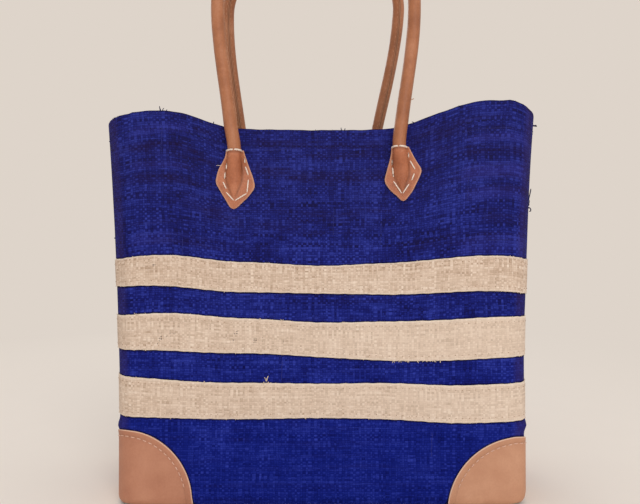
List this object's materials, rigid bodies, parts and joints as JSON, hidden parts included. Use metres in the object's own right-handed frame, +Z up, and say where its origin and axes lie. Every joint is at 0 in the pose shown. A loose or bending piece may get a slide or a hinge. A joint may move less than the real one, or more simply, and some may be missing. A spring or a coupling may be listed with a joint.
{
  "type": "beach tote bag",
  "caption": "Open-topped woven raffia beach tote with natural bands on blue, folded leather corners and rolled leather handles that fold down over its sides.",
  "frame": {"origin": "on the floor, under the middle of the base", "axes": "+Z up; +X to the right of someone who faces the front; the front, with its handle, faces -Y"},
  "size_m": [0.4408, 0.167, 0.6303],
  "materials": {
    "blue_raffia": "plain-woven dyed raffia, satin strands with streaks of lighter and darker blue",
    "natural_raffia": "plain-woven undyed raffia, warm beige, matt, with small gaps in the weave",
    "lining_cloth": "thin dark blue cotton cloth, matt",
    "corner_leather": "tan hide with a faded, slightly worn face and raw cut edges",
    "tab_leather": "smooth tan hide with a soft gloss on its raised ridge",
    "handle_leather": "smooth tan hide rolled round a cord, satin",
    "cord": "thick twisted cotton cord"
  },
  "bodies": {
    "bag": {"front_panel": "blue_raffia", "right_gusset": "blue_raffia", "back_panel": "blue_raffia", "left_gusset": "blue_raffia", "base_panel": "blue_raffia", "lining": "lining_cloth", "front_lower_band": "natural_raffia", "front_middle_band": "natural_raffia", "front_upper_band": "natural_raffia", "right_lower_band": "natural_raffia", "right_middle_band": "natural_raffia", "right_upper_band": "natural_raffia", "back_lower_band": "natural_raffia", "back_middle_band": "natural_raffia", "back_upper_band": "natural_raffia", "left_lower_band": "natural_raffia", "left_middle_band": "natural_raffia", "left_upper_band": "natural_raffia", "front_right_corner_leather": "corner_leather", "back_right_corner_leather": "corner_leather", "back_left_corner_leather": "corner_leather", "front_left_corner_leather": "corner_leather", "front_left_tab": "tab_leather", "front_left_backing": "tab_leather", "front_left_neck": "handle_leather", "front_right_tab": "tab_leather", "front_right_backing": "tab_leather", "front_right_neck": "handle_leather", "back_left_tab": "tab_leather", "back_left_backing": "tab_leather", "back_left_neck": "handle_leather", "back_right_tab": "tab_leather", "back_right_backing": "tab_leather", "back_right_neck": "handle_leather"},
    "front_handle": {"front_handle_roll": "handle_leather", "front_handle_core": "cord"},
    "back_handle": {"back_handle_roll": "handle_leather", "back_handle_core": "cord"}
  },
  "joints": [
    {"name": "front_handle_fold", "type": "hinge", "parent": "bag", "child": "front_handle", "pos_m": [-0.00348, -0.08252, 0.37283], "axis": [1, 0.005, 0], "range_deg": [0, 185], "deforming": ["front_left_neck", "front_right_neck"]},
    {"name": "back_handle_fold", "type": "hinge", "parent": "bag", "child": "back_handle", "pos_m": [-0.01557, 0.08206, 0.37285], "axis": [-0.9995, 0.0301, 0], "range_deg": [0, 185], "deforming": ["back_left_neck", "back_right_neck"]}
  ]
}
